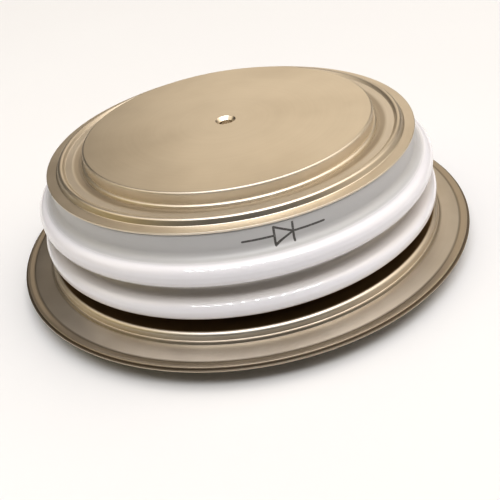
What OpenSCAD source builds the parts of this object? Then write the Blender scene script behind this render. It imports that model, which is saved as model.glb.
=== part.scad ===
// Disc-type press-pack power diode. Millimetres, +Z up.
// Every piece is turned about the Z axis. The lower contact face lies on z = 0, the ceramic ring stands on the
// formed weld flange, and the two contact discs press the silicon wafer between them.

/* [Contact discs] */
// Diameter of both contact discs
contact_d = 74; // [50:1:100]
// Rounding of a contact face's edge
contact_edge = 0.6; // [0.2:0.1:1]
// Thickness of the lower disc, from its contact face to the wafer stack
lower_disc_t = 13.6; // [11:0.2:16]
// Height of the upper contact face above the diaphragm
upper_stand = 3.25; // [2:0.25:6]
// Inward step of the lower disc's spigot
spigot_step = 0.8; // [0.5:0.1:2]
// Height of the lower disc's spigot
spigot_h = 3; // [2:0.5:4]

/* [Centring holes] */
// Diameter of the blind hole in each contact face
hole_d = 3.5; // [2:0.5:6]
// Length of the hole's straight wall
hole_wall = 2.2; // [1.5:0.1:3]
// Width of the countersink around the hole
hole_sink = 0.85; // [0.4:0.05:1.2]
// Full angle of the drill's point
drill_point = 118; // [90:1:140]

/* [Ceramic ring] */
// Height of the ceramic ring
ceramic_h = 22; // [18:0.5:30]
// Wall of the ceramic at its ends
ceramic_wall = 6.6; // [5:0.1:9]
// Reach of the upper rib beyond the ends
upper_rib = 4.5; // [3:0.1:6]
// Reach of the lower rib beyond the ends
lower_rib = 5.3; // [3:0.1:6]
// Height of the lower rib's middle above the ceramic's lower end
lower_rib_z = 5.05; // [4.8:0.05:6]
// Distance between the middles of the ribs
rib_pitch = 8.35; // [7:0.05:10]
// Thickness of the upper rib at its nose
upper_rib_nose = 4.7; // [3:0.1:5]
// Thickness of the lower rib at its nose
lower_rib_nose = 4.1; // [3:0.1:5]
// Height that a rib gains towards its root, on each flank
rib_flare = 0.6; // [0.2:0.1:1]
// Reach of the waist between the ribs beyond the ends
waist_reach = 0.6; // [0:0.1:2]
// Radius of the hollow where a rib meets the wall
rib_root = 1.7; // [0.5:0.1:2.5]
// Chamfer of the ceramic's end edges
ceramic_edge = 0.35; // [0.1:0.05:0.6]

/* [Formed sheets] */
// Thickness of all three sheets
sheet_t = 0.5; // [0.3:0.05:0.6]
// Thickness of the braze layers
braze_t = 0.1; // [0.05:0.05:0.2]
// Leg of the braze fillet at the contact discs
braze_leg = 0.8; // [0.3:0.1:1]
// Distance of a ceramic braze layer from the ceramic's edges
braze_inset = 0.6; // [0.4:0.1:1.5]
// Inside radius of the tight bends
bend = 0.3; // [0.2:0.05:0.5]
// Inside radius of the wide bend at the weld flange's shelf
shelf_bend = 0.6; // [0.3:0.05:0.8]
// Inside radius of the gentle bend where the weld flange turns flat
flat_bend = 18; // [5:1:25]
// Overhang of the diaphragm's foot beyond the ceramic
foot_overhang = 0.3; // [0:0.1:0.6]
// Width of the diaphragm's foot
foot_w = 2.6; // [2:0.1:4]
// Radial run of a convolution's flank
flank_run = 0.7; // [0.5:0.1:1]
// Width of a convolution's crest
crest_w = 0.9; // [0.8:0.1:1.5]
// Height of the diaphragm's convolution above its foot
diaphragm_crest = 1.4; // [0.8:0.1:2]
// Height of the diaphragm's floor above its foot
diaphragm_floor = 0.65; // [0.2:0.05:0.75]
// Depth of the dish around the upper disc
dish_depth = 0.3; // [0:0.05:0.5]
// Width of the dish around the upper disc
dish_w = 3.2; // [2:0.1:3.5]
// Height of the lid flange's convolution
lid_crest = 1; // [0.6:0.1:1.4]

/* [Cold-welded rim] */
// Height of the weld plane above the lower contact face
weld_z = 5.15; // [4:0.05:7]
// Width of the weld flange's shelf beyond the ceramic
shelf_w = 4.9; // [4.5:0.1:7]
// Height of the shelf above the weld plane
shelf_rise = 2.75; // [2.5:0.05:4]
// Height of the shoulder in the step, above the weld plane
shoulder_rise = 1; // [0.8:0.05:1.5]
// Radial run of each of the step's two walls
step_run = 0.25; // [0.2:0.05:0.6]
// Width of the shoulder in the step
shoulder_w = 0.5; // [0.4:0.05:1]
// Rise of the flange from the rim to the step
annulus_rise = 0.4; // [0.1:0.05:0.6]
// Width of the flange between the step and the rim
annulus_w = 4.1; // [3:0.1:8]
// Distance of the squeeze groove from the flange's flat part
weld_offset = 1.6; // [1.4:0.1:2.5]
// Radius of the tool that squeezes the rim
weld_tool = 0.55; // [0.4:0.05:0.6]
// Depth of the squeeze groove in each sheet
weld_depth = 0.28; // [0.1:0.02:0.3]
// Width of the upper sheet outside the squeeze groove
lip_w = 1.25; // [0.8:0.1:2]
// Reach of the lid flange beyond the upper sheet
lid_lip = 0.55; // [0:0.05:1]

/* [Wafer stack] */
// Reach of the silicon wafer beyond the contact discs
wafer_reach = 0.5; // [0:0.1:1.5]
// Thickness of the silicon wafer
wafer_t = 0.9; // [0.4:0.05:1.2]
// Width of the wafer's bevelled edge
wafer_bevel = 1.2; // [0.5:0.1:2]
// Inset of the molybdenum discs from the contact discs
moly_inset = 2; // [1.8:0.1:4]
// Thickness of the lower molybdenum disc
lower_moly_t = 3; // [2:0.1:4]
// Thickness of the upper molybdenum disc
upper_moly_t = 2.1; // [1.5:0.1:3]
// Inset of the silver shims from the contact discs
shim_inset = 3; // [2:0.1:5]
// Thickness of the silver shims
shim_t = 0.2; // [0.1:0.05:0.4]
// Wall of the edge seal outside the wafer
seal_wall = 1.1; // [0.8:0.1:2]
// Height of the edge seal above and below the wafer
seal_lap = 0.8; // [0.5:0.1:1.2]
// Wall of the centring ring beside the edge seal
ring_wall = 1.1; // [0.8:0.1:2]
// Radial clearance of the centring ring and of the edge seal
ring_gap = 0.15; // [0.05:0.05:0.3]

/* [Hidden] */

$fn = 144;
arc_step = 10;

// Radii, from the axis outwards
contact_r = contact_d / 2;
spigot_r = contact_r - spigot_step;
hole_r = hole_d / 2;
moly_r = contact_r - moly_inset;
shim_r = contact_r - shim_inset;
wafer_r = contact_r + wafer_reach;
seal_r = wafer_r + seal_wall;
ring_r = seal_r + ring_gap + ring_wall;
bore_r = ring_r + ring_gap;
end_r = bore_r + ceramic_wall;
foot_r = end_r + foot_overhang;
step_r = end_r + shelf_w;
annulus_r = step_r + 2 * step_run + shoulder_w;
flat_r = annulus_r + annulus_w;
weld_r = flat_r + weld_offset;
upper_rim_r = weld_r + lip_w;
lid_rim_r = upper_rim_r + lid_lip;

// Heights, from the lower contact face upwards
shelf_z = weld_z + shelf_rise;
ceramic_z = shelf_z + sheet_t + braze_t;
ceramic_top = ceramic_z + ceramic_h;
foot_z = ceramic_top + braze_t;
floor_z = foot_z + sheet_t + diaphragm_floor;
upper_face_z = floor_z + upper_stand;
lower_shim_z = lower_disc_t;
lower_moly_z = lower_shim_z + shim_t;
wafer_z = lower_moly_z + lower_moly_t;
upper_moly_z = wafer_z + wafer_t;
upper_shim_z = upper_moly_z + upper_moly_t;
upper_disc_z = upper_shim_z + shim_t;
seal_z = wafer_z - seal_lap;
seal_top = upper_moly_z + seal_lap;

// Colours
nickel = [0.77, 0.70, 0.58];
dark_nickel = [0.66, 0.60, 0.50];
braze = [0.84, 0.79, 0.68];
glaze = [0.95, 0.94, 0.93];
molybdenum = [0.50, 0.50, 0.52];
silver = [0.88, 0.88, 0.88];
silicon = [0.30, 0.31, 0.35];
silicone = [0.80, 0.36, 0.22];
ptfe = [0.96, 0.96, 0.94];

// A corner is [radius, height, rounding]. An outline is a closed list of corners.
function place(corner) = [corner[0], corner[1]];
function unit(v) = v / norm(v);
function left_of(v) = [-v[1], v[0]];

// The points of one rounded corner b between its neighbours a and c, with the rounding kept to the room there
function corner_arc(a, b, c) =
    let (
        u = unit(place(a) - place(b)),
        v = unit(place(c) - place(b)),
        half = acos(max(-1, min(1, u * v))) / 2,
        room = 0.48 * min(norm(place(a) - place(b)), norm(place(c) - place(b)))
    )
    b[2] == 0 || half > 89.5 ? [place(b)] :
    let (
        reach = min(b[2] / tan(half), room),
        radius = reach * tan(half),
        centre = place(b) + unit(u + v) * (radius / sin(half)),
        first = place(b) + u * reach - centre,
        sweep = (cross(-u, v) > 0 ? 1 : -1) * (180 - 2 * half),
        steps = ceil(abs(sweep) / arc_step),
        start = atan2(first[1], first[0])
    )
    [for (i = [0:steps]) centre + radius * [cos(start + sweep * i / steps), sin(start + sweep * i / steps)]];

function rounded(outline) =
    let (n = len(outline))
    [for (i = [0:n - 1]) each corner_arc(outline[(i + n - 1) % n], outline[i], outline[(i + 1) % n])];

// Which way a path turns at corner i: above 0 to the left, below 0 to the right
function turn(path, i) = cross(place(path[i]) - place(path[i - 1]), place(path[i + 1]) - place(path[i]));

// Corner i of a path, moved by t to its left, so that both faces of a sheet stay parallel
function moved(path, i, t) =
    let (
        n = len(path),
        before = unit(place(path[i == 0 ? 1 : i]) - place(path[i == 0 ? 0 : i - 1])),
        after = unit(place(path[i == n - 1 ? i : i + 1]) - place(path[i == n - 1 ? i - 1 : i])),
        p = left_of(before),
        q = left_of(after)
    )
    place(path[i]) + t * (p + q) / (1 + p * q);

// Outline of a formed sheet of thickness t that lies to the left of a path. A corner's rounding is the bend's
// inside radius, so the face on the outside of the bend gets the thickness on top of it.
function sheet_outline(path, t) =
    let (n = len(path))
    concat(
        [for (i = [0:n - 1]) [path[i][0], path[i][1],
            path[i][2] + (i > 0 && i < n - 1 && turn(path, i) > 0 ? t : 0)]],
        [for (i = [n - 1:-1:0]) [each moved(path, i, t),
            path[i][2] + (i > 0 && i < n - 1 && turn(path, i) < 0 ? t : 0)]]
    );

module turned(outline) {
    rotate_extrude() polygon(rounded(outline));
}

module washer(inner_r, outer_r, z, height) {
    turned([[inner_r, z, 0], [outer_r, z, 0], [outer_r, z + height, 0], [inner_r, z + height, 0]]);
}

// Outline of a contact disc from its inner face to its contact face, with the centring hole. The disc's inner
// end is narrower by step over the height step_h. way is 1 where the contact face looks up and -1 where it
// looks down.
function disc_outline(inner_z, face_z, step, step_h, way) =
    let (
        wall_z = face_z - way * hole_sink,
        bottom_z = wall_z - way * hole_wall
    )
    concat(
        [[0, inner_z, 0], [contact_r - step, inner_z, contact_edge / 2]],
        step > 0 ? [[contact_r - step, inner_z + way * step_h, 0], [contact_r, inner_z + way * step_h, 0]] : [],
        [
            [contact_r, face_z, contact_edge],
            [hole_r + hole_sink, face_z, 0],
            [hole_r, wall_z, 0],
            [hole_r, bottom_z, 0],
            [0, bottom_z - way * hole_r / tan(drill_point / 2), 0]
        ]
    );

module upper_pole_piece() {
    color(nickel) turned(disc_outline(upper_disc_z, upper_face_z, 0, 0, 1));
}

module lower_pole_piece() {
    color(nickel) turned(disc_outline(lower_disc_t, 0, spigot_step, spigot_h, -1));
}

// Braze between a contact disc and the inner edge of its sheet, which spans z to z + way * sheet_t. The hollow
// fillet lies on the outer side of the sheet.
module disc_braze(z, way) {
    gap_r = contact_r + braze_t;
    fillet_z = z + way * (sheet_t + braze_leg);
    hollow = [for (i = [0:9]) [gap_r + braze_leg * (1 - cos(10 * i)), fillet_z - way * braze_leg * sin(10 * i)]];
    rotate_extrude() polygon(concat(
        [[contact_r, z], [contact_r, fillet_z]],
        hollow,
        [[gap_r, z + way * sheet_t], [gap_r, z]]
    ));
}

module upper_pole_braze_ring() {
    color(braze) disc_braze(floor_z - sheet_t - dish_depth, 1);
}

module lower_pole_braze_ring() {
    color(braze) disc_braze(weld_z, -1);
}

// Thin diaphragm, drawn along its upper face from the foot on the ceramic, over the convolution and down to
// the dish around the upper disc
module upper_diaphragm() {
    top = foot_z + sheet_t;
    crest = top + diaphragm_crest;
    foot_in = foot_r - foot_w;
    crest_out = foot_in - flank_run;
    crest_in = crest_out - crest_w;
    floor_out = crest_in - flank_run;
    inner = contact_r + braze_t;
    color(nickel) turned(sheet_outline([
        [foot_r, top, 0.15],
        [foot_in, top, bend],
        [crest_out, crest, bend],
        [crest_in, crest, bend],
        [floor_out, floor_z, bend],
        [inner + dish_w, floor_z, 2 * bend],
        [inner + dish_w / 2, floor_z - dish_depth, 2 * bend],
        [inner, floor_z - dish_depth, 0]
    ], sheet_t));
}

module upper_ceramic_braze_ring() {
    color(braze) washer(bore_r + braze_inset, end_r - braze_inset / 2, ceramic_top, braze_t);
}

module lower_ceramic_braze_ring() {
    color(braze) washer(bore_r + braze_inset, end_r - braze_inset / 2, shelf_z + sheet_t, braze_t);
}

// The corners of one rib, from its lower root to its upper root
function rib(reach, z, nose, below_reach, above_reach) = [
    [end_r + below_reach, z - nose / 2 - rib_flare, rib_root],
    [end_r + reach, z - nose / 2, nose / 2],
    [end_r + reach, z + nose / 2, nose / 2],
    [end_r + above_reach, z + nose / 2 + rib_flare, rib_root]
];

module ceramic_insulator() {
    lower = ceramic_z + lower_rib_z;
    color(glaze) turned(concat(
        [[bore_r, ceramic_z, ceramic_edge], [end_r, ceramic_z, ceramic_edge]],
        rib(lower_rib, lower, lower_rib_nose, 0, waist_reach),
        rib(upper_rib, lower + rib_pitch, upper_rib_nose, waist_reach, 0),
        [[end_r, ceramic_top, ceramic_edge], [bore_r, ceramic_top, ceramic_edge]]
    ));
}

// Ring that the cold-welding tool squeezes into a face at height z
module weld_groove(z, way) {
    rotate_extrude() translate([weld_r, z + way * (weld_tool - weld_depth)]) circle(r = weld_tool, $fn = 48);
}

// Upper sheet of the rim, drawn along its lower face from the shelf under the ceramic, down the shouldered step
// and out to the rim
module ceramic_weld_flange() {
    color(dark_nickel) difference() {
        turned(sheet_outline([
            [bore_r + braze_inset, shelf_z, 0],
            [step_r, shelf_z, shelf_bend],
            [step_r + step_run, weld_z + shoulder_rise, bend / 2],
            [step_r + step_run + shoulder_w, weld_z + shoulder_rise - step_run / 2, bend / 2],
            [annulus_r, weld_z + annulus_rise, bend],
            [flat_r, weld_z, flat_bend],
            [upper_rim_r, weld_z, 0]
        ], sheet_t));
        weld_groove(weld_z + sheet_t, 1);
    }
}

// Lower sheet of the rim, drawn along its upper face from the rim to the lower disc, with a convolution that
// rises into the capsule
module lid_weld_flange() {
    crest_out = end_r - foot_w - flank_run;
    crest_in = crest_out - crest_w;
    color(dark_nickel) difference() {
        turned(sheet_outline([
            [lid_rim_r, weld_z, 0],
            [crest_out + flank_run, weld_z, bend],
            [crest_out, weld_z + lid_crest, bend],
            [crest_in, weld_z + lid_crest, bend],
            [crest_in - flank_run, weld_z, bend],
            [contact_r + braze_t, weld_z, 0]
        ], sheet_t));
        weld_groove(weld_z - sheet_t, -1);
    }
}

module lower_silver_shim() {
    color(silver) cylinder_at(shim_r, lower_shim_z, shim_t);
}

module upper_silver_shim() {
    color(silver) cylinder_at(shim_r, upper_shim_z, shim_t);
}

module lower_molybdenum_disc() {
    color(molybdenum) cylinder_at(moly_r, lower_moly_z, lower_moly_t);
}

module upper_molybdenum_disc() {
    color(molybdenum) cylinder_at(moly_r, upper_moly_z, upper_moly_t);
}

module cylinder_at(r, z, height) {
    translate([0, 0, z]) cylinder(r = r, h = height);
}

// The wafer's edge slopes in towards its upper face
function wafer_outline() = [
    [0, wafer_z, 0], [wafer_r, wafer_z, 0], [wafer_r - wafer_bevel, wafer_z + wafer_t, 0], [0, wafer_z + wafer_t, 0]
];

module silicon_wafer() {
    color(silicon) turned(wafer_outline());
}

// Silicone ring cast around the wafer's edge
module wafer_edge_seal() {
    inner = moly_r + ring_gap;
    color(silicone) turned([
        [inner, seal_z, 0],
        [seal_r, seal_z, seal_lap / 2],
        [seal_r, seal_top, seal_lap / 2],
        [inner, seal_top, 0],
        [inner, wafer_z + wafer_t, 0],
        [wafer_r - wafer_bevel, wafer_z + wafer_t, 0],
        [wafer_r, wafer_z, 0],
        [inner, wafer_z, 0]
    ]);
}

// Ring that stands on the lower disc's step, fills the gap to the ceramic's bore and holds the wafer's seal
module pellet_centring_ring() {
    step_z = lower_disc_t - spigot_h;
    color(ptfe) turned([
        [spigot_r + ring_gap, step_z, 0],
        [ring_r, step_z, 0],
        [ring_r, seal_top, 0.2],
        [seal_r + ring_gap, seal_top, 0.2],
        [seal_r + ring_gap, seal_z - ring_gap, 0],
        [spigot_r + ring_gap, seal_z - ring_gap, 0]
    ]);
}

upper_pole_piece();
upper_pole_braze_ring();
upper_diaphragm();
upper_ceramic_braze_ring();
ceramic_insulator();
lower_ceramic_braze_ring();
ceramic_weld_flange();
lid_weld_flange();
lower_pole_braze_ring();
lower_pole_piece();
lower_silver_shim();
lower_molybdenum_disc();
silicon_wafer();
wafer_edge_seal();
upper_molybdenum_disc();
upper_silver_shim();
pellet_centring_ring();
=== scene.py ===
"""Disc-type press-pack diode: turned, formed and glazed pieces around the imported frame, with their stage."""
from math import acos, atan2, ceil, cos, pi, radians, sin, tan

import bmesh
import bpy
from bpy.props import FloatProperty, FloatVectorProperty, IntProperty, PointerProperty
from mathutils import Matrix, Vector


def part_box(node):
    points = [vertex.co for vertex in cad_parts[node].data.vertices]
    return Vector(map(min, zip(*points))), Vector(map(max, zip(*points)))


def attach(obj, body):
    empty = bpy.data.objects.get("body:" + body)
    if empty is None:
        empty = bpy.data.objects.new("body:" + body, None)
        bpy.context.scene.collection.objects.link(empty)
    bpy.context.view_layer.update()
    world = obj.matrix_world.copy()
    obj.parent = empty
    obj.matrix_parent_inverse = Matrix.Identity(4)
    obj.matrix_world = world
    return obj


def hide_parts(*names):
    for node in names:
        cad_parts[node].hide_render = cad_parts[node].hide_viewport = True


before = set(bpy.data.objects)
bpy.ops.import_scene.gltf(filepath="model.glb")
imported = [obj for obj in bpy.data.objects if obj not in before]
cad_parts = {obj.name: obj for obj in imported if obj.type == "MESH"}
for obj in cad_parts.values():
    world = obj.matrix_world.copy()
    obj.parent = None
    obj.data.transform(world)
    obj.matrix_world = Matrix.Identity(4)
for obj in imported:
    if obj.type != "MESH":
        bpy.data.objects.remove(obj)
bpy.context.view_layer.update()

bl_info = {
    "name": "Press-pack capsule",
    "version": (1, 0, 0),
    "blender": (4, 5, 0),
    "location": "3D View > Sidebar > Capsule",
    "description": "Builds the pieces, finishes and stage of a disc-type press-pack diode",
    "category": "Object",
}

MM = 0.001


# Sizes and colours that a user would change

def millimetres(name, description, value):
    return FloatProperty(name=name, description=description, default=value * MM, precision=5, unit="LENGTH",
                         subtype="DISTANCE")


def top_of(node):
    """Highest corner of a CAD node's box, in millimetres: its outer radius and its upper end."""
    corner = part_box(node)[1] / MM
    return round(corner.x, 3), round(corner.z, 3)


def foot_of(node):
    """Lower end of a CAD node, in millimetres."""
    return round(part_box(node)[0].z / MM, 3)


def colour(name, description, value):
    return FloatVectorProperty(name=name, description=description, default=value, size=3, min=0, max=1,
                               subtype="COLOR")


class CapsuleDiscs(bpy.types.PropertyGroup):
    """Contact discs and their centring holes"""
    radius: millimetres("Radius", "Radius of both contact discs", top_of("upper_pole_piece")[0])
    upper_face: millimetres("Upper face", "Height of the upper contact face", top_of("upper_pole_piece")[1])
    upper_inside: millimetres("Upper inside", "Height of the upper disc's inner face", foot_of("upper_pole_piece"))
    lower_inside: millimetres("Lower inside", "Height of the lower disc's inner face", top_of("lower_pole_piece")[1])
    face_edge: millimetres("Face edge", "Rounding of a contact face's edge", 0.6)
    spigot_step: millimetres("Spigot step", "Inward step of the lower disc's spigot", 0.8)
    spigot_height: millimetres("Spigot height", "Height of the lower disc's spigot", 3)
    hole_radius: millimetres("Hole radius", "Radius of the blind centring holes", 1.75)
    hole_wall: millimetres("Hole wall", "Length of a hole's straight wall", 2.2)
    hole_sink: millimetres("Hole sink", "Width of the countersink around a hole", 0.85)
    sink_edge: millimetres("Sink edge", "Rounding of the countersink's edge", 0.15)
    drill_edge: millimetres("Drill edge", "Rounding of the edges inside a hole", 0.1)
    drill_point: FloatProperty(name="Drill point", description="Full angle of the drill's point",
                               default=radians(118), subtype="ANGLE")


class CapsuleCeramic(bpy.types.PropertyGroup):
    """Ribbed ceramic ring"""
    bore: millimetres("Bore", "Inner radius of the ring", 40.0)
    end_radius: millimetres("End radius", "Outer radius of the ring at its ends", 46.6)
    bottom: millimetres("Bottom", "Height of the ring's lower end", foot_of("ceramic_insulator"))
    top: millimetres("Top", "Height of the ring's upper end", top_of("ceramic_insulator")[1])
    lower_rib: millimetres("Lower rib", "Reach of the lower rib", top_of("ceramic_insulator")[0] - 46.6)
    upper_rib: millimetres("Upper rib", "Reach of the upper rib", 4.5)
    lower_rib_height: millimetres("Lower rib height", "Height of the lower rib's middle", 13.55)
    upper_rib_height: millimetres("Upper rib height", "Height of the upper rib's middle", 21.9)
    lower_nose: millimetres("Lower nose", "Thickness of the lower rib at its nose", 4.1)
    upper_nose: millimetres("Upper nose", "Thickness of the upper rib at its nose", 4.7)
    flare: millimetres("Flare", "Height that a rib gains towards its root, on each flank", 0.6)
    waist: millimetres("Waist", "Reach of the waist between the ribs", 0.6)
    root: millimetres("Root", "Radius of the hollow where a rib meets the wall", 1.7)
    end_edge: millimetres("End edge", "Rounding of the end edges", 0.35)


class CapsuleSheets(bpy.types.PropertyGroup):
    """Formed sheets and their brazed seats"""
    thickness: millimetres("Thickness", "Thickness of all three sheets", 0.5)
    bend: millimetres("Bend", "Inside radius of the tight bends", 0.3)
    braze: millimetres("Braze", "Thickness of a braze layer", 0.1)
    braze_leg: millimetres("Braze leg", "Width and height of the braze beads", 0.8)
    braze_round: millimetres("Braze round", "Rounding of the braze beads", 0.72)
    cut_edge: millimetres("Cut edge", "Rounding of the diaphragm's cut edges", 0.15)
    foot_radius: millimetres("Foot radius", "Outer radius of the diaphragm", top_of("upper_diaphragm")[0])
    foot_height: millimetres("Foot height", "Lower face of the diaphragm's foot", foot_of("upper_diaphragm"))
    foot_width: millimetres("Foot width", "Width of the diaphragm's foot", 2.6)
    flank_run: millimetres("Flank run", "Radial run of a convolution's flank", 0.7)
    crest_width: millimetres("Crest width", "Width of a convolution's crest", 0.9)
    crest_rise: millimetres("Crest rise", "Height of the diaphragm's convolution", 1.4)
    floor_rise: millimetres("Floor rise", "Height of the diaphragm's floor above its foot", 0.65)
    dish_depth: millimetres("Dish depth", "Depth of the dish around the upper disc", 0.3)
    dish_width: millimetres("Dish width", "Width of the dish around the upper disc", 3.2)
    lid_crest: millimetres("Lid crest", "Height of the lid flange's convolution", 1.0)


class CapsuleRim(bpy.types.PropertyGroup):
    """Cold-welded rim of the two flanges"""
    weld_height: millimetres("Weld height", "Height of the plane where they meet", foot_of("ceramic_weld_flange"))
    inner_radius: millimetres("Inner radius", "Inner radius of the upper sheet", 40.6)
    upper_radius: millimetres("Upper radius", "Outer radius of the upper sheet", top_of("ceramic_weld_flange")[0])
    lower_radius: millimetres("Lower radius", "Outer radius of the lower sheet", top_of("lid_weld_flange")[0])
    shelf_height: millimetres("Shelf height", "Lower face of the shelf under the ceramic", 7.9)
    shelf_radius: millimetres("Shelf radius", "Outer radius of the shelf", 51.5)
    shoulder_rise: millimetres("Shoulder rise", "Height of the shoulder above the weld plane", 1.0)
    shoulder_width: millimetres("Shoulder width", "Width of the shoulder", 0.5)
    shoulder_fall: millimetres("Shoulder fall", "Fall of the shoulder towards its edge", 0.025)
    shoulder_edge: millimetres("Shoulder edge", "Outside rounding of the shoulder's sharp edge", 0.08)
    step_run: millimetres("Step run", "Radial run of each wall of the step", 0.25)
    annulus_rise: millimetres("Annulus rise", "Rise of the flange from the rim to the step", 0.3)
    crown_radius: millimetres("Crown radius", "Radius where the flange starts to droop", 55.0)
    crown_rise: millimetres("Crown rise", "Rise of the flange above the weld plane there", 0.27)
    crown_bend: millimetres("Crown bend", "Radius of the gentle bend at the crown", 25)
    flat_radius: millimetres("Flat radius", "Radius where the sheets start to touch", 57.0)
    groove_radius: millimetres("Groove radius", "Radius of the squeezed groove", 57.6)
    groove_reach: millimetres("Groove reach", "Half the width of the squeezed groove", 1.2)
    groove_depth: millimetres("Groove depth", "Depth of the groove in each sheet, before its rounding", 0.165)
    groove_bend: millimetres("Groove bend", "Rounding of the groove's bottom", 0.35)
    groove_lip: millimetres("Groove lip", "Rounding of the groove's lips", 0.1)
    rim_edge: millimetres("Rim edge", "Rounding of the rim's cut edges", 0.12)


class CapsuleFinishes(bpy.types.PropertyGroup):
    """Colours of the finishes, some of which are painted shade"""
    nickel: colour("Nickel", "Satin nickel plating", (0.76, 0.70, 0.61))
    flange: colour("Flange", "Nickel plating of the weld flanges", (0.73, 0.68, 0.61))
    tarnish: colour("Tarnish", "Darker areas of the plating", (0.48, 0.42, 0.34))
    # Painted shade with some oxide: the plating in the recess under the ceramic is darkened where shade falls
    soot_and_shade: colour("Soot and shade", "Painted shade with oxide in the recess under the ceramic", (0.24, 0.17, 0.09))
    # Dirt in the weld's groove and along its seam; at the step's foot the same colour is painted shade
    grime_and_shade: colour("Grime and shade", "Dirt in the weld's groove and along its seam, and painted shade at the step", (0.22, 0.19, 0.155))
    braze: colour("Braze", "Silver braze", (0.76, 0.70, 0.60))
    glaze: colour("Glaze", "White glazed ceramic", (0.82, 0.815, 0.855))
    # Painted shade: this greyer colour on the wall above the ribs stands in for the shade that falls there
    painted_wall_shade: colour("Wall shade", "Painted shade on the glaze of the wall above the ribs", (0.56, 0.56, 0.565))
    # Painted shade with some dust: the hollow between the ribs and the foot under the lower rib are darkened
    dust_and_shade: colour("Dust and shade", "Dust in the hollow between the ribs and under them", (0.50, 0.46, 0.39))
    # Painted shade: the ceramic low in the recess, next to the lower braze, is darkened over its bare, stained band
    bisque_and_shade: colour("Bisque and shade", "Painted shade on bare, stained ceramic next to the lower braze", (0.30, 0.24, 0.17))
    ink: colour("Ink", "Burnt-in symbol", (0.05, 0.045, 0.04))
    molybdenum: colour("Molybdenum", "Lapped molybdenum", (0.33, 0.33, 0.34))
    silver: colour("Silver", "Rolled silver foil", (0.86, 0.85, 0.82))
    silicon: colour("Silicon", "Metallised silicon", (0.20, 0.21, 0.24))
    silicone: colour("Silicone", "Cast silicone", (0.60, 0.10, 0.035))
    ptfe: colour("PTFE", "Machined white plastic", (0.88, 0.88, 0.86))


class CapsuleStage(bpy.types.PropertyGroup):
    """Floor, light and camera"""
    floor: colour("Floor", "Pale floor", (0.79, 0.80, 0.82))
    floor_radius: FloatProperty(name="Floor radius", description="Radius of the floor", default=1.5, unit="LENGTH")
    cove: FloatProperty(name="Cove", description="Radius of the curve from floor to backdrop", default=0.6,
                        unit="LENGTH")
    wall: FloatProperty(name="Wall", description="Height of the backdrop", default=2.0, unit="LENGTH")
    ambient: FloatProperty(name="Ambient", description="Strength of the soft light from all sides", default=0.03)
    steps: IntProperty(name="Steps", description="Facets around each turned piece", default=240, min=48, max=480)


# Turned pieces

def corner_cut(corners, i, closed, room):
    """Distance from corner i to the start of its rounding, and the angle that the profile turns there."""
    r, z, rounding = corners[i]
    if rounding == 0 or (not closed and i in (0, len(corners) - 1)):
        return 0, 0
    here = Vector((r, z))
    back = Vector(corners[i - 1][:2]) - here
    ahead = Vector(corners[(i + 1) % len(corners)][:2]) - here
    half = acos(max(-1, min(1, back.normalized() @ ahead.normalized()))) / 2
    return min(rounding / tan(half), room * min(back.length, ahead.length)), pi - 2 * half


def profile(corners, closed=True, room=0.48, arc=radians(5)):
    """A bmesh with the rounded profile in the XZ half plane. A corner is (radius, height, rounding), room is the
    share of a side that a rounding may take, and arc is the largest angle between two facets of a rounding."""
    bm = bmesh.new()
    verts = [bm.verts.new((r, 0, z)) for r, z, _ in corners]
    for a, b in zip(verts, verts[1:] + verts[:1] if closed else verts[1:]):
        bm.edges.new((a, b))
    for i, vert in enumerate(verts):
        cut, turn = corner_cut(corners, i, closed, room)
        if cut > 0 and turn > radians(1):
            bmesh.ops.bevel(bm, geom=[vert], offset=cut, offset_type="OFFSET", segments=max(2, ceil(turn / arc)),
                            profile=0.5, affect="VERTICES", clamp_overlap=False, material=-1)
    return bm


def spin_round(bm, merge=0.0002 * MM):
    """Spins a profile once about the Z axis, merges the points that meet, and points its faces outwards."""
    bmesh.ops.spin(bm, geom=bm.verts[:] + bm.edges[:], cent=(0, 0, 0), axis=(0, 0, 1), dvec=(0, 0, 0), angle=2 * pi,
                   steps=bpy.context.scene.capsule_stage.steps, use_merge=True, use_normal_flip=False,
                   use_duplicate=False)
    bmesh.ops.remove_doubles(bm, verts=bm.verts, dist=merge)
    bmesh.ops.recalc_face_normals(bm, faces=bm.faces)


def linked(name, bm, material):
    """Makes a smooth object of a bmesh and puts it into the scene."""
    for face in bm.faces:
        face.smooth = True
    mesh = bpy.data.meshes.new(name)
    bm.to_mesh(mesh)
    bm.free()
    mesh.materials.append(material)
    piece = bpy.data.objects.new(name, mesh)
    bpy.context.scene.collection.objects.link(piece)
    return piece


SHARP_EDGE = radians(28)


def turned(name, bm, material, node):
    """Spins a profile into a finished piece that rides on the capsule and replaces its CAD node."""
    spin_round(bm)
    for edge in bm.edges:
        edge.smooth = len(edge.link_faces) == 2 and edge.calc_face_angle() < SHARP_EDGE
    piece = linked(name, bm, material)
    weights = piece.modifiers.new("flat faces stay flat", "WEIGHTED_NORMAL")
    weights.keep_sharp = True
    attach(piece, "root")
    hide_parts(node)


def sheet_outline(path, thickness):
    """Closed outline of a formed sheet to the left of a path. A corner's rounding is the bend's inside radius."""
    points = [Vector(corner[:2]) for corner in path]
    near, far = [], []
    for i, (point, corner) in enumerate(zip(points, path)):
        inner = 0 < i < len(path) - 1
        before = (points[max(i, 1)] - points[max(i, 1) - 1]).normalized()
        after = (points[min(i + 1, len(points) - 1)] - points[min(i, len(points) - 2)]).normalized()
        left = Vector((-before.y - after.y, before.x + after.x))
        far_point = point + left * thickness / (1 + before @ after)
        turn = before.cross(after) if inner else 0
        near.append((point.x, point.y, corner[2] + (thickness if turn > 0 else 0)))
        far.append((far_point.x, far_point.y, corner[2] + (thickness if turn < 0 else 0)))
    return near + far[::-1]


# Node helpers for the finishes

# How fast a turning line changes along itself, against how fast it changes across
LINE_DRIFT = 0.02


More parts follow.
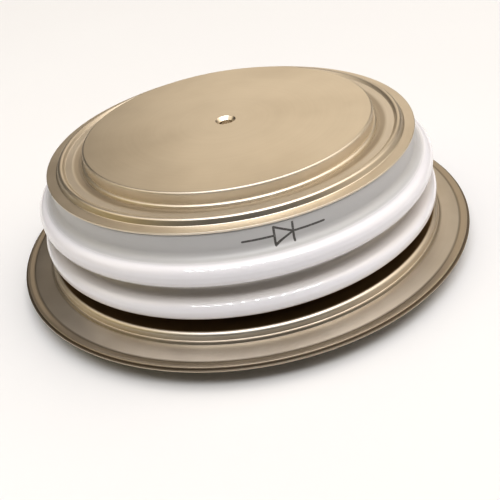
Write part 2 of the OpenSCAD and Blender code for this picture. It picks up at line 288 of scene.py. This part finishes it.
class Graph:
    """The nodes of one material, around its Principled shader."""

    def __init__(self, name):
        self.material = bpy.data.materials.new(name)
        self.material.use_nodes = True
        self.tree = self.material.node_tree
        self.shader = next(n for n in self.tree.nodes if n.type == "BSDF_PRINCIPLED")
        self.place = self.add("ShaderNodeTexCoord").outputs["Object"]

    def add(self, kind, inputs=None, **settings):
        made = self.tree.nodes.new(kind)
        for key, value in settings.items():
            setattr(made, key, value)
        for key, value in (inputs or {}).items():
            self.put(made.inputs[key], value)
        return made

    def put(self, socket, value):
        if isinstance(value, bpy.types.NodeSocket):
            self.tree.links.new(value, socket)
        else:
            socket.default_value = value

    def set(self, **values):
        """Sets the shader's inputs, named in small letters with underscores."""
        for socket in self.shader.inputs:
            key = socket.name.lower().replace(" ", "_")
            if key in values:
                self.put(socket, values.pop(key))
        if values:
            raise KeyError(f"no such input: {list(values)}")

    def maths(self, operation, *values, clamp=False):
        made = self.add("ShaderNodeMath", operation=operation, use_clamp=clamp)
        for i, value in enumerate(values):
            self.put(made.inputs[i], value)
        return made.outputs[0]

    def ramp(self, value, low, high, start=0.0, end=1.0):
        """A smooth ramp of value from low to high, as start to end."""
        made = self.add("ShaderNodeMapRange", {"Value": value, "From Min": low, "From Max": high, "To Min": start,
                                               "To Max": end}, interpolation_type="SMOOTHSTEP")
        return made.outputs["Result"]

    def fade(self, value, origin, span, start=0.0, end=1.0):
        """A smooth ramp between two distances from origin, which span gives in millimetres."""
        return self.ramp(value, origin + span[0] * MM, origin + span[1] * MM, start, end)

    def away(self, value, origin):
        """Distance of value from origin, to either side."""
        return self.maths("ABSOLUTE", self.maths("SUBTRACT", value, origin))

    def mix(self, factor, a, b):
        made = self.add("ShaderNodeMix", data_type="RGBA")
        self.put(made.inputs[0], factor)
        for socket, value in ((made.inputs[6], a), (made.inputs[7], b)):
            self.put(socket, value if isinstance(value, bpy.types.NodeSocket) else (*value, 1))
        return made.outputs[2]

    def noise(self, scale, detail=2.0, roughness=0.5, vector=None):
        made = self.add("ShaderNodeTexNoise", {"Vector": vector or self.place, "Scale": scale, "Detail": detail,
                                               "Roughness": roughness})
        return made.outputs["Fac"]

    def polar(self):
        """Radius and height of a point, in metres."""
        parts = self.add("ShaderNodeSeparateXYZ", {"Vector": self.place}).outputs
        flat = self.add("ShaderNodeVectorMath", {0: self.place, 1: (1, 1, 0)}, operation="MULTIPLY").outputs[0]
        radius = self.add("ShaderNodeVectorMath", {0: flat}, operation="LENGTH").outputs["Value"]
        return radius, parts["Z"]

    def turning(self):
        """A vector whose noise makes lines round the Z axis, as turning and drawing leave them."""
        radius, height = self.polar()
        flat = self.add("ShaderNodeVectorMath", {0: self.place, 1: (LINE_DRIFT, LINE_DRIFT, 0)}, operation="MULTIPLY")
        line = self.add("ShaderNodeCombineXYZ", {"X": radius, "Y": height})
        return self.add("ShaderNodeVectorMath", {0: line.outputs[0], 1: flat.outputs[0]}, operation="ADD").outputs[0]

    def stroke(self, point, start, end, half):
        """1 on a printed line from start to end, in a plane whose X and Y are in metres."""
        along = Vector((*end, 0)) - Vector((*start, 0))
        rel = self.add("ShaderNodeVectorMath", {0: point, 1: (*start, 0)}, operation="SUBTRACT").outputs[0]
        share = self.add("ShaderNodeVectorMath", {0: rel, 1: along / along.length_squared}, operation="DOT_PRODUCT")
        foot = self.add("ShaderNodeVectorMath", {0: along}, operation="SCALE")
        self.put(foot.inputs["Scale"], self.maths("ADD", share.outputs["Value"], 0.0, clamp=True))
        away = self.add("ShaderNodeVectorMath", {0: rel, 1: foot.outputs[0]}, operation="DISTANCE").outputs["Value"]
        return self.fade(away, half, (-0.03, 0.05), 1, 0)

    def bump(self, height, distance, strength=1.0, under=None):
        made = self.add("ShaderNodeBump", {"Strength": strength, "Distance": distance, "Height": height})
        if under:
            self.put(made.inputs["Normal"], under)
        return made.outputs["Normal"]


# Noise scales of the nickel, per metre
CLOUDS, GLOSS, FINE_LINES, LINES, GRAIN = 38, 95, 900, 1900, 5200
# Depths of its turning lines and its grain, in metres
LINE_DEPTH, GRAIN_DEPTH = 3.6e-6, 0.5e-6


def rim_dirt_and_shade(g, radius, height, groove, seam, foot):
    """Share of dirt in the weld's groove and along the seam outside the groove, and of painted shade at the step's
    foot.
    """
    along_seam = g.maths("MULTIPLY", g.fade(g.away(height, seam), 0, (0.05, 0.25), 0.9, 0),
                         g.fade(radius, groove, (1.2, 1.6)))
    # Painted shade in the concave corner at the step's foot
    at_foot = g.maths("MULTIPLY", g.fade(radius, foot, (-0.15, 0)), g.fade(radius, foot, (0.1, 0.9), 0.5, 0))
    in_groove = g.fade(g.away(radius, groove), 0, (0.1, 0.45), 0.55, 0)
    return g.maths("MAXIMUM", g.maths("MAXIMUM", in_groove, at_foot), along_seam)


def satin_nickel(name, finishes, rough, stain=0.25, plating=None, soot_and_shade=None, dull=None, rim=None, flux_stain_and_shade=None):
    """Nickel plating with fine turning lines, a slight grain and cloudy patches. The shade of the recess is given as
    a
    radius and a height: inside that radius and above that height the plating is darkened, as painted shade over some
    oxide. Dull is two radii and the roughness that the plating reaches at the second one. The shade of the dish is
    given as the radius inside which the plating is darkened, as painted shade over brazing stain. Rim is the weld's
    groove radius, the seam's height and the radius of the step's foot: the plating is tarnished beyond the groove,
    dirty in the groove and along the seam, and darkened at the foot as painted shade."""
    g = Graph(name)
    plating = plating or finishes.nickel
    cloud = g.noise(CLOUDS, 3, 0.55)
    streak = g.noise(FINE_LINES, 2, 0.6, vector=g.turning())
    tone = g.maths("ADD", g.maths("MULTIPLY", g.ramp(cloud, 0.3, 0.72), stain), g.maths("MULTIPLY", streak, 0.12))
    radius, height = g.polar()
    if rim:
        tone = g.maths("MAXIMUM", tone, g.fade(radius, rim[0], (-0.4, 0.2), 0, 0.85))
    # Painted shade with brazing stain in the dish around the upper disc: the plating is darker inside this radius
    if flux_stain_and_shade:
        tone = g.maths("MAXIMUM", tone, g.fade(radius, flux_stain_and_shade, (-0.9, 0), 0.8, 0))
    plating = g.mix(tone, plating, finishes.tarnish)
    if rim:
        plating = g.mix(rim_dirt_and_shade(g, radius, height, *rim), plating, finishes.grime_and_shade)
    # Painted shade with some oxide in the recess under the ceramic: darker inside that radius and above that height
    if soot_and_shade:
        inside = g.maths("MULTIPLY", g.fade(radius, soot_and_shade[0], (-0.5, 0), 1, 0), g.fade(height, soot_and_shade[1], (-0.3, 0)))
        plating = g.mix(inside, plating, finishes.soot_and_shade)
    # The two noises add 0.08 on average, which the smooth share of the roughness leaves room for
    smooth = g.ramp(radius, *dull[:2], rough - 0.08, dull[2] - 0.08) if dull else rough - 0.08
    g.set(metallic=1.0, base_color=plating,
          roughness=g.maths("ADD", g.maths("MULTIPLY", g.noise(GLOSS, 3), 0.10),
                            g.maths("MULTIPLY_ADD", streak, 0.06, smooth)))
    grain = g.bump(g.noise(GRAIN, 2, 0.6), GRAIN_DEPTH, 0.3)
    g.set(normal=g.bump(g.noise(LINES, 3, 0.65, vector=g.turning()), LINE_DEPTH, 0.5, under=grain))
    return g.material


# Operators, one for each piece or group of like pieces

class CAPSULE_OT_contact_discs(bpy.types.Operator):
    """Turn both contact discs with their centring holes"""
    bl_idname = "capsule.contact_discs"
    bl_label = "Contact discs"

    def execute(self, context):
        d = context.scene.capsule_discs
        finish = satin_nickel("disc_nickel", context.scene.capsule_finishes, 0.33,
                              dull=(d.radius - d.face_edge, d.radius, 0.55))
        for name, node, inside, face, step in (
                ("contact_disc_upper", "upper_pole_piece", d.upper_inside, d.upper_face, 0),
                ("contact_disc_lower", "lower_pole_piece", d.lower_inside, 0.0, d.spigot_step)):
            way = 1 if face > inside else -1
            bottom = face - way * (d.hole_sink + d.hole_wall)
            corners = [(0, inside, 0), (d.radius - step, inside, d.face_edge / 2)]
            if step:
                ledge = inside + way * d.spigot_height
                corners += [(d.radius - step, ledge, 0), (d.radius, ledge, 0)]
            corners += [
                (d.radius, face, d.face_edge),
                (d.hole_radius + d.hole_sink, face, d.sink_edge),
                (d.hole_radius, face - way * d.hole_sink, d.drill_edge),
                (d.hole_radius, bottom, d.drill_edge),
                (0, bottom - way * d.hole_radius / tan(d.drill_point / 2), 0),
            ]
            turned(name, profile(corners, closed=False), finish, node)
        return {"FINISHED"}


# Scale per metre and depth in metres of the ripples that flowing braze leaves
FLOW, FLOW_DEPTH = 420, 8e-6


class CAPSULE_OT_braze_fillets(bpy.types.Operator):
    """Run the rounded braze beads where the sheets meet the contact discs"""
    bl_idname = "capsule.braze_fillets"
    bl_label = "Braze fillets"

    def execute(self, context):
        d, s, rim = context.scene.capsule_discs, context.scene.capsule_sheets, context.scene.capsule_rim
        g = Graph("silver_braze")
        flow = g.noise(FLOW, 3, 0.6)
        g.set(metallic=1.0, base_color=g.mix(g.ramp(flow, 0.35, 0.7), context.scene.capsule_finishes.braze,
                                             context.scene.capsule_finishes.nickel),
              roughness=g.maths("MULTIPLY_ADD", flow, 0.2, 0.34), normal=g.bump(flow, FLOW_DEPTH, 0.4))
        floor = s.foot_height + s.thickness + s.floor_rise
        for name, node, seat, way in (
                ("braze_fillet_upper", "upper_pole_braze_ring", floor - s.thickness - s.dish_depth, 1),
                ("braze_fillet_lower", "lower_pole_braze_ring", rim.weld_height, -1)):
            outer, sheet = d.radius + s.braze, seat + way * s.thickness
            bead = sheet + way * s.braze_leg
            corners = [
                (d.radius, seat, 0), (d.radius, bead, 0), (outer + s.braze_leg, bead, s.braze_round),
                (outer + s.braze_leg, sheet, 0), (outer, sheet, 0), (outer, seat, 0),
            ]
            turned(name, profile(corners, room=1.0), g.material, node)
        return {"FINISHED"}


class CAPSULE_OT_diaphragm(bpy.types.Operator):
    """Form the thin diaphragm between the upper disc and the ceramic"""
    bl_idname = "capsule.diaphragm"
    bl_label = "Diaphragm"

    def execute(self, context):
        d, s = context.scene.capsule_discs, context.scene.capsule_sheets
        top = s.foot_height + s.thickness
        crest, floor = top + s.crest_rise, top + s.floor_rise
        foot_in = s.foot_radius - s.foot_width
        crest_out = foot_in - s.flank_run
        crest_in = crest_out - s.crest_width
        inner = d.radius + s.braze
        path = [
            (s.foot_radius, top, s.cut_edge),
            (foot_in, top, s.bend),
            (crest_out, crest, s.bend),
            (crest_in, crest, s.bend),
            (crest_in - s.flank_run, floor, s.bend),
            (inner + s.dish_width, floor, 2 * s.bend),
            (inner + s.dish_width / 2, floor - s.dish_depth, 2 * s.bend),
            (inner, floor - s.dish_depth, 0),
        ]
        finish = satin_nickel("diaphragm_nickel", context.scene.capsule_finishes, 0.40,
                              dull=(crest_in, crest_in - s.flank_run, 0.52), flux_stain_and_shade=inner + s.dish_width)
        turned("diaphragm_sheet", profile(sheet_outline(path, s.thickness)), finish,
               "upper_diaphragm")
        return {"FINISHED"}


# Printed mark: the general symbol of a diode, as lines in millimetres from its middle. It runs along the wall, so it
# doesn't say which disc is the anode
MARK_LINES = (
    ((-9, 0), (-2.2, 0)), ((-2.2, -2.1), (-2.2, 2.1)), ((-2.2, 2.1), (1.9, 0)), ((1.9, 0), (-2.2, -2.1)),
    ((1.9, -2.1), (1.9, 2.1)), ((1.9, 0), (9, 0)),
)
MARK_HALF_WIDTH = 0.24
MARK_AZIMUTH = -80
MARK_HEIGHT = 27.4
INK_GRAIN = 2600


def diode_symbol(g, ceramic, height):
    """1 on the symbol's lines, as burnt into the glaze of the upper wall."""
    parts = g.add("ShaderNodeSeparateXYZ", {"Vector": g.place}).outputs
    turn = g.maths("ARCTAN2", parts["Y"], parts["X"])
    length = g.maths("MULTIPLY", g.maths("SUBTRACT", turn, radians(MARK_AZIMUTH)), ceramic.end_radius)
    rise = g.maths("SUBTRACT", height, MARK_HEIGHT * MM)
    point = g.add("ShaderNodeCombineXYZ", {"X": length, "Y": rise}).outputs[0]
    mark = 0.0
    for start, end in MARK_LINES:
        line = g.stroke(point, [x * MM for x in start], [x * MM for x in end], MARK_HALF_WIDTH * MM)
        mark = g.maths("MAXIMUM", mark, line)
    return g.maths("MULTIPLY", mark, g.ramp(g.noise(INK_GRAIN, 2, 0.6), 0.25, 0.5, 0.62, 0.9))


# Fades of the ceramic's tones, most of them painted shade, in millimetres: above the ring's lower end, above the
# upper rib's middle, outside the wall, to either side of the hollow between the ribs, and above the contact face
BARE_AND_SHADE_FADE, WALL_UP, WALL_OUT, DUST_AND_SHADE_FADE, FOOT_DUST_AND_SHADE = (1.5, 2.6), (0.9, 1.4), (1.4, 3.0), (1.2, 2.7), (11.2, 12.8)
DUST_AND_SHADE_SHARE = 0.55
# Added roughness of the wall, the glaze's index of refraction, and the scale per metre and depth of its pooling
WALL_DULLNESS, GLAZE_IOR, POOLS, POOL_DEPTH = 0.4, 1.65, 240, 15e-6


def glaze_tones(g, c, f, radius, height):
    """Colour of the ring before its mark, with painted shade on the wall above the ribs, in the hollow and low down,
    and the share of that wall, whose glaze is also duller.
    """
    # Painted shade low in the recess, over the bare, stained ceramic next to the lower braze
    bare_and_shade = g.fade(height, c.bottom, BARE_AND_SHADE_FADE, 1, 0)
    # Painted shade on the wall above the ribs, where the glaze is also duller
    wall = g.maths("MULTIPLY", g.fade(height, c.upper_rib_height, WALL_UP),
                   g.fade(radius, c.end_radius, WALL_OUT, 1, 0))
    hollow = (c.lower_rib_height + c.lower_nose / 2 + c.upper_rib_height - c.upper_nose / 2) / 2
    # Painted shade with some dust in the hollow between the ribs and under the lower rib
    dust_and_shade = g.maths("MAXIMUM", g.fade(g.away(height, hollow), 0, DUST_AND_SHADE_FADE, DUST_AND_SHADE_SHARE, 0),
                   g.fade(height, 0, FOOT_DUST_AND_SHADE, DUST_AND_SHADE_SHARE, 0))
    return g.mix(bare_and_shade, g.mix(dust_and_shade, g.mix(wall, f.glaze, f.painted_wall_shade), f.dust_and_shade), f.bisque_and_shade), wall


class CAPSULE_OT_ceramic_ring(bpy.types.Operator):
    """Turn and glaze the ribbed ceramic ring"""
    bl_idname = "capsule.ceramic_ring"
    bl_label = "Ceramic ring"

    def execute(self, context):
        c = context.scene.capsule_ceramic

        def rib(reach, height, nose, below, above):
            return [
                (c.end_radius + below, height - nose / 2 - c.flare, c.root),
                (c.end_radius + reach, height - nose / 2, nose / 2),
                (c.end_radius + reach, height + nose / 2, nose / 2),
                (c.end_radius + above, height + nose / 2 + c.flare, c.root),
            ]

        corners = [
            (c.bore, c.bottom, c.end_edge), (c.end_radius, c.bottom, c.end_edge),
            *rib(c.lower_rib, c.lower_rib_height, c.lower_nose, 0, c.waist),
            *rib(c.upper_rib, c.upper_rib_height, c.upper_nose, c.waist, 0),
            (c.end_radius, c.top, c.end_edge), (c.bore, c.top, c.end_edge),
        ]
        f = context.scene.capsule_finishes
        g = Graph("white_glaze")
        pool = g.noise(POOLS, 2, 0.5)
        radius, height = g.polar()
        glaze, wall = glaze_tones(g, c, f, radius, height)
        g.set(base_color=g.mix(diode_symbol(g, c, height), glaze, f.ink),
              roughness=g.maths("MULTIPLY_ADD", wall, WALL_DULLNESS, g.ramp(pool, 0.2, 0.8, 0.03, 0.06)),
              normal=g.bump(pool, POOL_DEPTH, 0.35), ior=GLAZE_IOR)
        turned("ceramic_ring", profile(corners), g.material, "ceramic_insulator")
        return {"FINISHED"}


class CAPSULE_OT_weld_flanges(bpy.types.Operator):
    """Form the two sheets of the cold-welded rim"""
    bl_idname = "capsule.weld_flanges"
    bl_label = "Weld flanges"

    def execute(self, context):
        d, s, rim, c = (context.scene.capsule_discs, context.scene.capsule_sheets, context.scene.capsule_rim,
                        context.scene.capsule_ceramic)
        t = s.thickness
        step = rim.shelf_radius + rim.step_run
        annulus = step + rim.shoulder_width + rim.step_run
        shoulder = rim.weld_height + rim.shoulder_rise
        path = [
            (rim.inner_radius, rim.shelf_height, 0),
            (rim.shelf_radius, rim.shelf_height, 2 * s.bend),
            (step, shoulder, s.bend / 2),
            (step + rim.shoulder_width, shoulder - rim.shoulder_fall, rim.shoulder_edge - t),
            (annulus, rim.weld_height + rim.annulus_rise, s.bend / 4),
            (rim.crown_radius, rim.weld_height + rim.crown_rise, rim.crown_bend),
            (rim.flat_radius, rim.weld_height, 0),
            (rim.upper_radius, rim.weld_height, 0),
        ]
        upper = sheet_outline(path, t)
        top, under = rim.weld_height + t, rim.weld_height - t
        # The upper face's outer two corners give way to the cut edge and the groove
        upper[len(path):len(path) + 2] = [
            (rim.upper_radius, top, rim.rim_edge),
            (rim.groove_radius + rim.groove_reach, top, rim.groove_lip),
            (rim.groove_radius, top - rim.groove_depth, rim.groove_bend),
        ]
        finishes = context.scene.capsule_finishes
        finish = satin_nickel("flange_nickel", finishes, 0.42, stain=0.4, plating=finishes.flange,
                              soot_and_shade=(rim.shelf_radius - 0.1 * MM, shoulder + t),
                              rim=(rim.groove_radius, rim.weld_height, annulus))
        turned("weld_flange_upper", profile(upper, room=0.9), finish, "ceramic_weld_flange")

        crest_out = c.end_radius - s.foot_width - s.flank_run
        crest_in = crest_out - s.crest_width
        lower = sheet_outline([
            (rim.lower_radius, rim.weld_height, rim.rim_edge),
            (crest_out + s.flank_run, rim.weld_height, s.bend),
            (crest_out, rim.weld_height + s.lid_crest, s.bend),
            (crest_in, rim.weld_height + s.lid_crest, s.bend),
            (crest_in - s.flank_run, rim.weld_height, s.bend),
            (d.radius + s.braze, rim.weld_height, 0),
        ], t)
        lower[-1:] = [
            (rim.groove_radius - rim.groove_reach, under, rim.groove_lip),
            (rim.groove_radius, under + rim.groove_depth, rim.groove_bend),
            (rim.groove_radius + rim.groove_reach, under, rim.groove_lip),
            (rim.lower_radius, under, rim.rim_edge),
        ]
        turned("weld_flange_lower", profile(lower), finish, "lid_weld_flange")
        return {"FINISHED"}


class CAPSULE_OT_inner_stack(bpy.types.Operator):
    """Give the enclosed wafer stack and the braze layers their finishes"""
    bl_idname = "capsule.inner_stack"
    bl_label = "Inner stack"

    def execute(self, context):
        f = context.scene.capsule_finishes
        for nodes, name, tone, metallic, rough, scale in (
                (("upper_molybdenum_disc", "lower_molybdenum_disc"), "lapped_molybdenum", f.molybdenum, 1, 0.45, 700),
                (("upper_silver_shim", "lower_silver_shim"), "silver_foil", f.silver, 1, 0.25, 300),
                (("silicon_wafer",), "metallised_silicon", f.silicon, 0.6, 0.2, 500),
                (("wafer_edge_seal",), "cast_silicone", f.silicone, 0, 0.4, 900),
                (("pellet_centring_ring",), "machined_ptfe", f.ptfe, 0, 0.5, 1200),
                (("upper_ceramic_braze_ring", "lower_ceramic_braze_ring"), "braze_layer", f.braze, 1, 0.35, 600)):
            g = Graph(name)
            grain = g.noise(scale, 3, 0.6, vector=g.turning())
            g.set(metallic=float(metallic), base_color=g.mix(grain, tone, [0.75 * x for x in tone]),
                  roughness=g.maths("MULTIPLY_ADD", grain, 0.15, rough), normal=g.bump(grain, 4e-6, 0.5))
            for node in nodes:
                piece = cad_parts[node]
                piece.data.materials.clear()
                piece.data.materials.append(g.material)
        return {"FINISHED"}


class CAPSULE_OT_stage(bpy.types.Operator):
    """Lay the pale floor, hang the backdrop, and set the light and the camera"""
    bl_idname = "capsule.stage"
    bl_label = "Stage"

    def execute(self, context):
        scene, stage = context.scene, context.scene.capsule_stage
        g = Graph("pale_floor")
        g.set(base_color=g.mix(g.noise(9, 2), stage.floor, [0.98 * x for x in stage.floor]), roughness=0.9)
        ground = bmesh.new()
        bmesh.ops.create_circle(ground, cap_ends=True, segments=stage.steps, radius=stage.floor_radius)
        floor = linked("floor", ground, g.material)
        wall = stage.floor_radius + stage.cove
        curtain = profile([(stage.floor_radius, 0, 0), (wall, 0, stage.cove), (wall, stage.wall, 0)], closed=False,
                          room=1.0)
        spin_round(curtain, merge=0.1 * MM)
        bmesh.ops.reverse_faces(curtain, faces=curtain.faces)
        backdrop = linked("backdrop", curtain, g.material)
        # The camera alone sees the backdrop: the soft lights lie behind it
        backdrop.visible_diffuse = backdrop.visible_glossy = backdrop.visible_shadow = False
        scene.view_settings.view_transform = "Standard"
        scene.view_settings.look = "High Contrast"
        studio_light(scene)
        lamp_row(scene)
        studio_camera(scene)
        return {"FINISHED"}


# Direction (azimuth and elevation in degrees; azimuth 0 is +X and 90 the back), inner and outer half angle, colour
SOFT_LIGHTS = {
    "overhead": (354, 78, 5, 40, (1.28, 1.22, 1.18)),
    "right_side": (2, 40, 9, 45, (0.94, 0.83, 0.68)),
    "back_wall": (82, 27, 5, 28, (0.72, 0.63, 0.51)),
    "back_left": (168, 52, 2, 34, (0.76, 0.69, 0.62)),
    "left_side": (186, 24, 2, 42, (0.30, 0.24, 0.10)),
    "front": (281, 71, 2, 35, (0.25, 0.30, 0.38)),
}


def studio_light(scene):
    """Soft lights as smooth discs of brightness on the sky."""
    world = bpy.data.worlds.new("studio")
    scene.world = world
    world.use_nodes = True
    tree = world.node_tree
    tree.nodes.clear()
    way = tree.nodes.new("ShaderNodeTexCoord").outputs["Generated"]
    total = None
    for azimuth, elevation, inner, outer, tone in SOFT_LIGHTS.values():
        a, e = radians(azimuth), radians(elevation)
        dot = tree.nodes.new("ShaderNodeVectorMath")
        dot.operation = "DOT_PRODUCT"
        dot.inputs[1].default_value = (cos(a) * cos(e), sin(a) * cos(e), sin(e))
        tree.links.new(way, dot.inputs[0])
        fall = tree.nodes.new("ShaderNodeMapRange")
        fall.interpolation_type = "SMOOTHSTEP"
        fall.inputs["From Min"].default_value = cos(radians(outer))
        fall.inputs["From Max"].default_value = cos(radians(inner))
        tree.links.new(dot.outputs["Value"], fall.inputs["Value"])
        scaled = tree.nodes.new("ShaderNodeVectorMath")
        scaled.operation = "MULTIPLY_ADD"
        scaled.inputs[0].default_value = tone
        tree.links.new(fall.outputs["Result"], scaled.inputs[1])
        if total:
            tree.links.new(total, scaled.inputs[2])
        else:
            ambient = scene.capsule_stage.ambient
            scaled.inputs[2].default_value = (ambient, 0.97 * ambient, 0.93 * ambient)
        total = scaled.outputs[0]
    background = tree.nodes.new("ShaderNodeBackground")
    tree.links.new(total, background.inputs["Color"])
    output = tree.nodes.new("ShaderNodeOutputWorld")
    tree.links.new(background.outputs[0], output.inputs["Surface"])


# A straight row of short lamp tubes above and in front, which the glaze mirrors as a row of dots: their number,
# pitch, width and length, place and power
LAMPS = 11
LAMP_PITCH = 0.14
LAMP_SIZE = 0.035, 0.4
LAMP_DEPTH, LAMP_HEIGHT = -0.65, 1.5
LAMP_POWER = 0.7


def lamp_row(scene):
    """Hangs the lamp tubes, each turned towards the capsule."""
    for i in range(LAMPS):
        data = bpy.data.lights.new("lamp_tube", "AREA")
        data.shape = "RECTANGLE"
        data.size, data.size_y = LAMP_SIZE
        data.energy = LAMP_POWER
        lamp = bpy.data.objects.new("lamp_tube", data)
        lamp.location = ((i - (LAMPS - 1) / 2) * LAMP_PITCH, LAMP_DEPTH, LAMP_HEIGHT)
        lamp.rotation_euler = atan2(-LAMP_DEPTH, LAMP_HEIGHT), 0, 0
        scene.collection.objects.link(lamp)


# Camera: focal length in pixels of a 500-pixel picture, elevation and roll in degrees, distance and offsets in
# units of the flange's radius, and the height of the point that the offsets start from
FOCAL, ELEVATION, ROLL, DISTANCE, ASIDE, ABOVE = 726, 33.16, 9.98, 3.351, -0.031, 0.134
AIM_HEIGHT = 4.6 * MM
PICTURE = 500
SENSOR = 36


def studio_camera(scene):
    """Sets the camera at the photo's viewing angle."""
    e, roll = radians(ELEVATION), radians(ROLL)
    across, up = Vector((1, 0, 0)), Vector((0, sin(e), cos(e)))
    back = Vector((0, -cos(e), sin(e)))
    right = cos(roll) * across - sin(roll) * up
    top = sin(roll) * across + cos(roll) * up
    radius = scene.capsule_rim.lower_radius
    place = (-ASIDE * right - ABOVE * top + DISTANCE * back) * radius + Vector((0, 0, AIM_HEIGHT))
    data = bpy.data.cameras.new("camera")
    data.sensor_width = SENSOR
    data.lens = FOCAL * SENSOR / PICTURE
    data.clip_start = 0.01
    camera = bpy.data.objects.new("camera", data)
    matrix = Matrix((right, top, back)).transposed().to_4x4()
    matrix.translation = place
    camera.matrix_world = matrix
    scene.collection.objects.link(camera)
    scene.camera = camera


class CAPSULE_PT_pieces(bpy.types.Panel):
    """Lists the pieces of the capsule"""
    bl_label = "Press-pack capsule"
    bl_space_type = "VIEW_3D"
    bl_region_type = "UI"
    bl_category = "Capsule"

    def draw(self, context):
        for operator in OPERATORS:
            self.layout.operator(operator.bl_idname)


GROUPS = {
    "capsule_discs": CapsuleDiscs, "capsule_ceramic": CapsuleCeramic, "capsule_sheets": CapsuleSheets,
    "capsule_rim": CapsuleRim, "capsule_finishes": CapsuleFinishes, "capsule_stage": CapsuleStage,
}
OPERATORS = (CAPSULE_OT_contact_discs, CAPSULE_OT_braze_fillets, CAPSULE_OT_diaphragm, CAPSULE_OT_ceramic_ring,
             CAPSULE_OT_weld_flanges, CAPSULE_OT_inner_stack, CAPSULE_OT_stage)


def register():
    for cls in (*GROUPS.values(), *OPERATORS, CAPSULE_PT_pieces):
        bpy.utils.register_class(cls)
    for name, cls in GROUPS.items():
        setattr(bpy.types.Scene, name, PointerProperty(type=cls))


def unregister():
    for name in GROUPS:
        delattr(bpy.types.Scene, name)
    for cls in (CAPSULE_PT_pieces, *reversed(OPERATORS), *reversed(GROUPS.values())):
        bpy.utils.unregister_class(cls)


def main():
    register()
    bpy.ops.capsule.contact_discs()
    bpy.ops.capsule.braze_fillets()
    bpy.ops.capsule.diaphragm()
    bpy.ops.capsule.ceramic_ring()
    bpy.ops.capsule.weld_flanges()
    bpy.ops.capsule.inner_stack()
    bpy.ops.capsule.stage()


if __name__ == "__main__":
    main()
